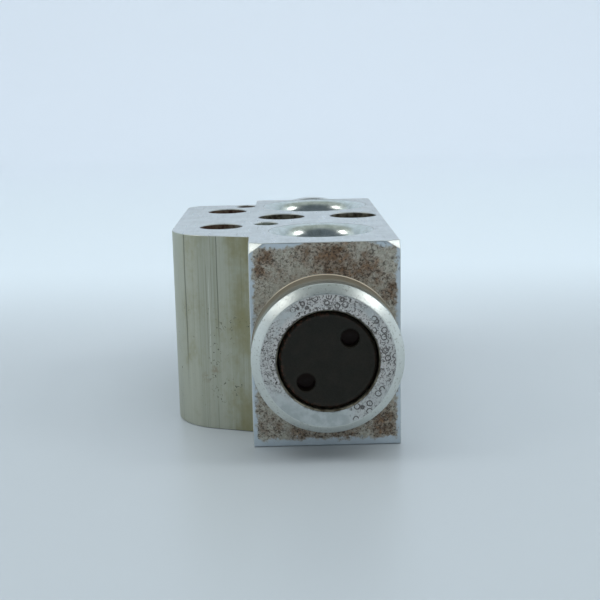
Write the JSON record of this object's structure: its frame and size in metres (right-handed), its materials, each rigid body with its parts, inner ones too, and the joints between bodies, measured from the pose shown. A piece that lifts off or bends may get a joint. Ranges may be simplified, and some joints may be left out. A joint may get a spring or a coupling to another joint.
{
  "type": "monoblock expansion valve",
  "caption": "Block-type thermostatic expansion valve lying on a port face: milled block with side lobe, rolled port mouths, round boss with adjusting plug, domed power element.",
  "frame": {"origin": "on the lower port face, on the stem's centre line and midway between the liquid port and the suction port of the upper face", "axes": "+Z is the outward normal of the upper port face; +Y runs along the stem from the adjuster to the power element; the mounting lobe is on the -X side"},
  "size_m": [0.042, 0.0896, 0.0334],
  "materials": {
    "aluminium": "milled, satin, with corrosion staining on the boss end",
    "black_steel": "black oxide, matt",
    "spring_steel": "drawn wire",
    "stainless": "turned, satin",
    "bearing_steel": "ground and polished",
    "brass": "turned",
    "zinc_plate": "zinc plated pressing",
    "green_rubber": "smooth moulded",
    "black_rubber": "smooth moulded",
    "grey_plastic": "moulded"
  },
  "bodies": {
    "block": {"valve_body": "aluminium", "orifice_seat": "stainless", "guide_bush": "brass", "rod_o_ring": "black_rubber", "seal_retainer": "grey_plastic", "lower_case": "zinc_plate", "upper_case": "zinc_plate", "diaphragm": "stainless", "charge_plug": "stainless", "case_o_ring": "green_rubber", "superheat_spring": "spring_steel"},
    "spring_carriage": {"spring_seat": "brass"},
    "adjuster": {"adjusting_plug": "black_steel", "plug_o_ring": "green_rubber"},
    "stem": {"push_rod": "stainless", "sensing_rod": "brass", "diaphragm_stopper": "brass", "valve_ball": "bearing_steel", "ball_carrier": "stainless", "anti_vibration_spring": "spring_steel"}
  },
  "joints": [
    {"name": "plug_advance", "type": "slide", "parent": "block", "child": "spring_carriage", "axis": [0, 1, 0], "range_m": [-0.001, 0.001], "deforming": ["superheat_spring"]},
    {"name": "adjuster_turn", "type": "hinge", "parent": "spring_carriage", "child": "adjuster", "pos_m": [0, -0.04135, 0.0164], "axis": [0, 1, 0], "range_deg": [-360, 360]},
    {"name": "valve_lift", "type": "slide", "parent": "block", "child": "stem", "axis": [0, -1, 0], "range_m": [0, 0.0008], "stiffness_N_per_m": 3000, "deforming": ["superheat_spring", "diaphragm"]}
  ],
  "couplings": [
    {"joint": "adjuster_turn", "follows": "plug_advance", "rad_per_m": 6283.2}
  ]
}
